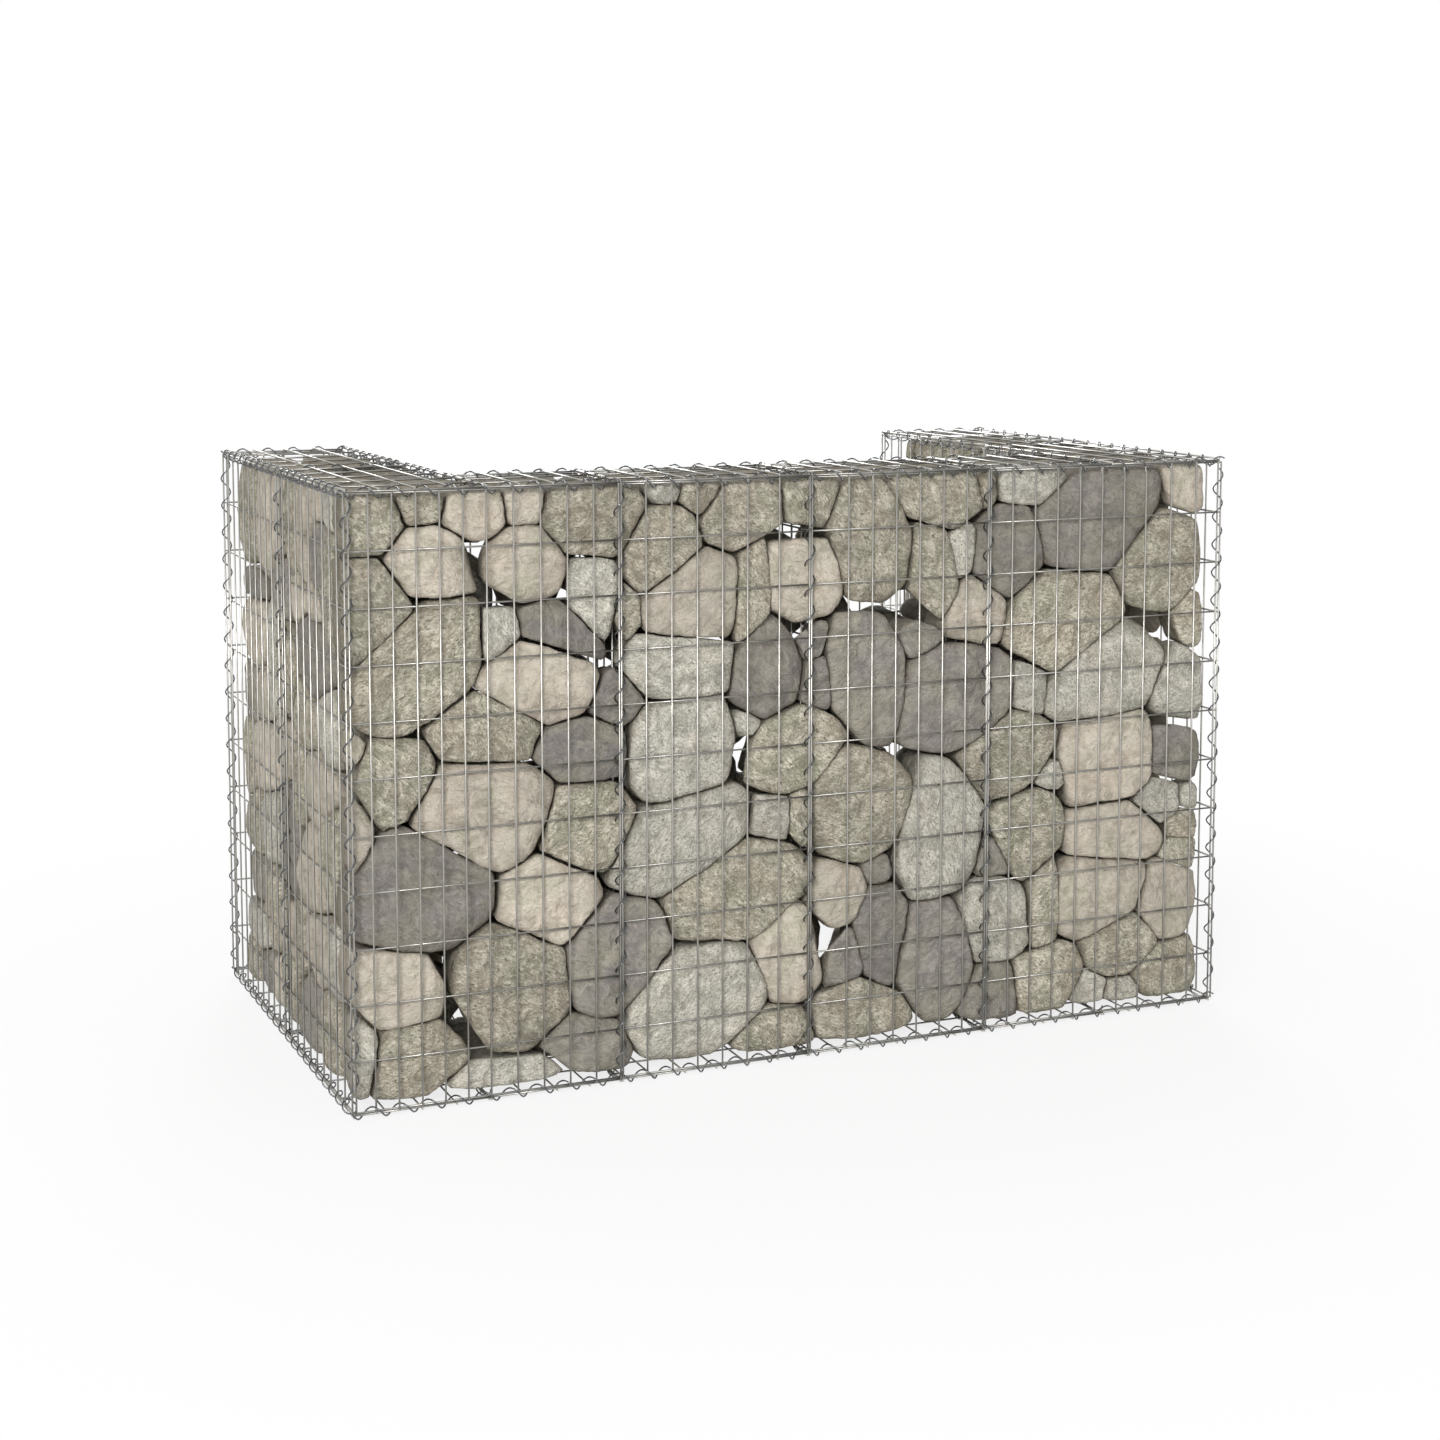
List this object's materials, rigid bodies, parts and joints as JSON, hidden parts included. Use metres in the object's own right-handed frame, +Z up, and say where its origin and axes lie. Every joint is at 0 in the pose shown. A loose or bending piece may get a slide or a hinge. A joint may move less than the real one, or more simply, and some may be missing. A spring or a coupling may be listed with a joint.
{
  "type": "gabion wall",
  "caption": "U-shaped garden screen wall of welded wire mesh baskets laced with wire spirals and filled with stones.",
  "frame": {"origin": "middle of the underside, where the lowest turns of the base's spirals touch the ground", "axes": "+X along the front wall, to the right for someone who looks at its face; +Y from the front wall's face towards the wings' ends; +Z up"},
  "size_m": [1.8, 1, 1.115],
  "materials": {
    "mesh_wire": "galvanised wire, dull silver grey",
    "spiral_wire": "galvanised wire, a little darker",
    "stone": "rough quarried and rounded field stones, grey, olive and tan, dry"
  },
  "bodies": {
    "root": {"front_mesh_1": "mesh_wire", "front_mesh_2": "mesh_wire", "front_mesh_3": "mesh_wire", "front_mesh_4": "mesh_wire", "left_side_mesh_1": "mesh_wire", "left_side_mesh_2": "mesh_wire", "right_side_mesh_1": "mesh_wire", "right_side_mesh_2": "mesh_wire", "left_end_mesh": "mesh_wire", "right_end_mesh": "mesh_wire", "inner_front_mesh_1": "mesh_wire", "inner_front_mesh_2": "mesh_wire", "inner_front_mesh_3": "mesh_wire", "inner_front_mesh_4": "mesh_wire", "left_inner_mesh_1": "mesh_wire", "left_inner_mesh_2": "mesh_wire", "right_inner_mesh_1": "mesh_wire", "right_inner_mesh_2": "mesh_wire", "front_divider_1": "mesh_wire", "front_divider_2": "mesh_wire", "front_divider_3": "mesh_wire", "left_wing_divider": "mesh_wire", "right_wing_divider": "mesh_wire", "lid_mesh_1": "mesh_wire", "lid_mesh_2": "mesh_wire", "lid_mesh_3": "mesh_wire", "lid_mesh_4": "mesh_wire", "lid_mesh_5": "mesh_wire", "lid_mesh_6": "mesh_wire", "base_mesh_1": "mesh_wire", "base_mesh_2": "mesh_wire", "base_mesh_3": "mesh_wire", "base_mesh_4": "mesh_wire", "base_mesh_5": "mesh_wire", "base_mesh_6": "mesh_wire", "stone_fill_1": "stone", "stone_fill_2": "stone", "stone_fill_3": "stone", "stone_fill_4": "stone", "stone_fill_5": "stone", "stone_fill_6": "stone", "corner_spirals": "spiral_wire", "joint_spirals": "spiral_wire", "lid_spirals": "spiral_wire", "base_spirals": "spiral_wire"}
  },
  "joints": []
}
